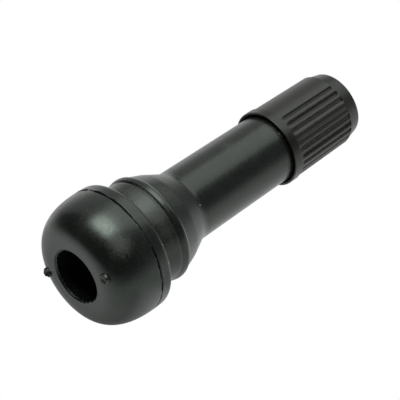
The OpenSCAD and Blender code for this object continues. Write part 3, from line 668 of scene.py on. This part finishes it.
floor = disc("studio_floor", (0, 0, FLOOR_Z), (0, 0, 1), FLOOR_R)
floor.visible_diffuse = floor.visible_glossy = False
floor_paint, tree, surface = bare_material("floor_paint")
mix, both = tree.nodes.new("ShaderNodeMixShader"), tree.nodes.new("ShaderNodeAddShader")
side, clear = tree.nodes.new("ShaderNodeNewGeometry"), tree.nodes.new("ShaderNodeBsdfTransparent")
paint, glow = tree.nodes.new("ShaderNodeBsdfDiffuse"), tree.nodes.new("ShaderNodeEmission")
paint.inputs["Color"].default_value = (FLOOR_GREY, FLOOR_GREY, FLOOR_GREY, 1)
glow.inputs["Strength"].default_value = FLOOR_GLOW
tree.links.new(paint.outputs[0], both.inputs[0])
tree.links.new(glow.outputs[0], both.inputs[1])
tree.links.new(side.outputs["Backfacing"], mix.inputs["Fac"])
tree.links.new(both.outputs[0], mix.inputs[1])
tree.links.new(clear.outputs[0], mix.inputs[2])
tree.links.new(mix.outputs[0], surface)
floor.data.materials.append(floor_paint)

world = bpy.data.worlds.new("studio")
bpy.context.scene.world = world
world.use_nodes = True
tree = world.node_tree
tree.nodes.clear()
sky, out = tree.nodes.new("ShaderNodeBackground"), tree.nodes.new("ShaderNodeOutputWorld")
ray, place = tree.nodes.new("ShaderNodeLightPath"), tree.nodes.new("ShaderNodeTexCoord")
split = tree.nodes.new("ShaderNodeSeparateXYZ")
tree.links.new(place.outputs["Generated"], split.inputs[0])
# the sheet goes on to its horizon, which lies lower behind the cap and higher at its left
over_sheet = measured(tree, "DOT_PRODUCT", place.outputs["Generated"], PAPER_UP)
behind = reckon(tree, "POWER", reckon(tree, "MAXIMUM", split.outputs["Z"], 0), 2)
leftwards = reckon(tree, "MINIMUM", split.outputs["X"], 0)
lean = reckon(tree, "MULTIPLY_ADD", leftwards, HORIZON_LEAN, HORIZON_BEND)
above_sheet = reckon(tree, "MULTIPLY_ADD", behind, lean, over_sheet)
white = reckon(tree, "MAXIMUM", ray.outputs["Is Camera Ray"], graded(tree, above_sheet, *HORIZON, 0, 1))
height = reckon(tree, "POWER", graded(tree, split.outputs["Z"], ROOM_FROM, 1, 0, 1, kind="LINEAR"), 2)
room = reckon(tree, "MULTIPLY_ADD", height, ROOM_HIGH - ROOM_LOW, ROOM_LOW)
strength = reckon(tree, "MULTIPLY_ADD", white, reckon(tree, "SUBTRACT", 1, room), room)
sky.inputs["Color"].default_value = (1, 1, 1, 1)
tree.links.new(strength, sky.inputs["Strength"])
tree.links.new(sky.outputs[0], out.inputs["Surface"])

for lamp_name, azimuth, elevation, distance, size, brightness in SOFTBOXES:
    azimuth, elevation = math.radians(azimuth), math.radians(elevation)
    level = math.cos(elevation)
    away = np.array([math.cos(azimuth) * level, math.sin(azimuth) * level, math.sin(elevation)])
    lamp = bpy.data.lights.new(lamp_name, "AREA")
    lamp.shape, lamp.size, lamp.size_y = "RECTANGLE", size[0] * MM, size[1] * MM
    lamp.energy = brightness * math.pi * lamp.size * lamp.size_y
    holder = bpy.data.objects.new(lamp_name, lamp)
    bpy.context.scene.collection.objects.link(holder)
    x_axis = np.cross((0, 0, 1), away)
    x_axis = x_axis / np.linalg.norm(x_axis)
    turned = np.eye(4)
    turned[:3, :4] = np.stack([x_axis, np.cross(away, x_axis), away, (AIM_AT + away * distance) * MM], -1)
    holder.matrix_world = Matrix(turned.tolist())
    holder.visible_camera = False

# Camera: a long lens that looks at the base end, with the valve's axis running up to the right.
# The axis leaves the base face's centre at these angles, seen from the lens.
LENS_MM, SENSOR_MM, PICTURE_PX = 225.0, 36.0, 400.0
CLIP_NEAR, CLIP_FAR = 0.01, 10.0
BASE_AT_PX, BASE_DISTANCE = (75.47, 277.25), 298.243
AXIS_AZIMUTH, AXIS_TILT, AXIS_TURN = math.radians(-33.917), math.radians(32.146), math.radians(114.4)

focal = LENS_MM / SENSOR_MM * PICTURE_PX
base_x, base_y = (np.array(BASE_AT_PX) - PICTURE_PX / 2) / focal * BASE_DISTANCE
base_at = np.array([base_x, base_y, BASE_DISTANCE])
axis_z = np.array([math.cos(AXIS_TILT) * math.cos(AXIS_AZIMUTH),
                   math.cos(AXIS_TILT) * math.sin(AXIS_AZIMUTH), math.sin(AXIS_TILT)])
across = np.cross(axis_z, (0, 0, 1))
across = across / np.linalg.norm(across)
axis_x = math.cos(AXIS_TURN) * across + math.sin(AXIS_TURN) * np.cross(axis_z, across)
seen_axes = np.stack([axis_x, np.cross(axis_z, axis_x), axis_z])
placed = np.eye(4)
placed[:3, :3] = seen_axes * np.array([1, -1, -1])
placed[:3, 3] = -(seen_axes @ base_at) * MM
lens = bpy.data.cameras.new("camera")
lens.lens, lens.sensor_width = LENS_MM, SENSOR_MM
lens.clip_start, lens.clip_end = CLIP_NEAR, CLIP_FAR
camera = bpy.data.objects.new("camera", lens)
camera.matrix_world = Matrix(placed.tolist())
bpy.context.scene.collection.objects.link(camera)
bpy.context.scene.camera = camera
bpy.context.scene.view_settings.view_transform = "Standard"
